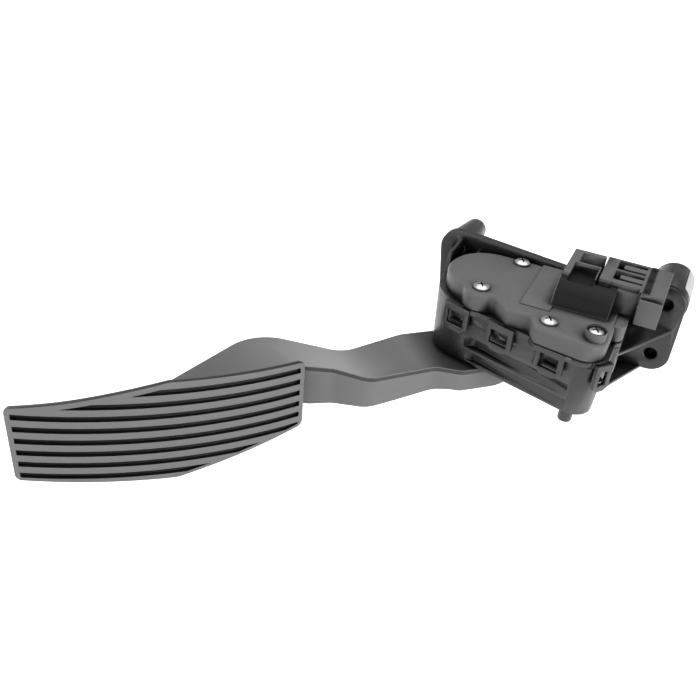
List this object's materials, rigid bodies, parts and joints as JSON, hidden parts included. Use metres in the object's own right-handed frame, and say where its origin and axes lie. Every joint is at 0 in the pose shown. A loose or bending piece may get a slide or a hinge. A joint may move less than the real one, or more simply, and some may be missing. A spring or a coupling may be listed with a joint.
{
  "type": "accelerator pedal",
  "caption": "Accelerator pedal module with a grooved tread on a swinging side arm, a moulded pivot housing with a screwed sensor cover and socket, and a flange with stand-offs.",
  "frame": {"origin": "centre of the right upper stand-off's seat face, where it meets the bulkhead", "axes": "+X along the flange towards the connector's mouth, +Y along the bolts towards the bulkhead, +Z along the pivot shaft towards the sensor cover"},
  "size_m": [0.2619, 0.2313, 0.1032],
  "materials": {
    "tub_plastic": "moulded, satin, fine grain",
    "lid_plastic": "moulded, satin",
    "cover_plastic": "moulded, satin, fine grain",
    "pedal_plastic": "moulded, satin, worn smooth on the tread",
    "washer_plastic": "low-friction plastic",
    "bush_plastic": "low-friction plastic",
    "shoe_plastic": "friction lining",
    "hub_plastic": "glass-filled, matt",
    "rotor_plastic": "matt",
    "board_laminate": "green lacquer",
    "screw_steel": "bright zinc plate",
    "seal_rubber": "matt",
    "stop_rubber": "matt",
    "contact_metal": "tinned",
    "wiper_metal": "bright",
    "spring_steel": "drawn wire, oiled",
    "shaft_steel": "ground"
  },
  "bodies": {
    "housing": {"housing_tub": "tub_plastic", "housing_lid": "lid_plastic", "sensor_cover": "cover_plastic", "cover_screws": "screw_steel", "cover_seal": "seal_rubber", "circuit_board": "board_laminate", "contact_pins": "contact_metal", "lower_bush": "bush_plastic", "upper_bush": "bush_plastic", "idle_stop": "stop_rubber", "travel_stop": "stop_rubber", "friction_shoe": "shoe_plastic", "friction_spring": "spring_steel", "return_spring_outer": "spring_steel", "return_spring_inner": "spring_steel"},
    "pedal": {"pedal_arm": "pedal_plastic", "pivot_shaft": "shaft_steel", "thrust_washer": "washer_plastic", "shaft_clip": "spring_steel", "drive_hub": "hub_plastic", "sensor_rotor": "rotor_plastic", "wiper_fingers": "wiper_metal"}
  },
  "joints": [
    {"name": "pedal_pivot", "type": "hinge", "parent": "housing", "child": "pedal", "pos_m": [-0.0855, -0.055, -0.048], "axis": [0, 0, -1], "range_deg": [0, 16], "stiffness_Nm_per_rad": 8, "springref_deg": -14.32}
  ]
}
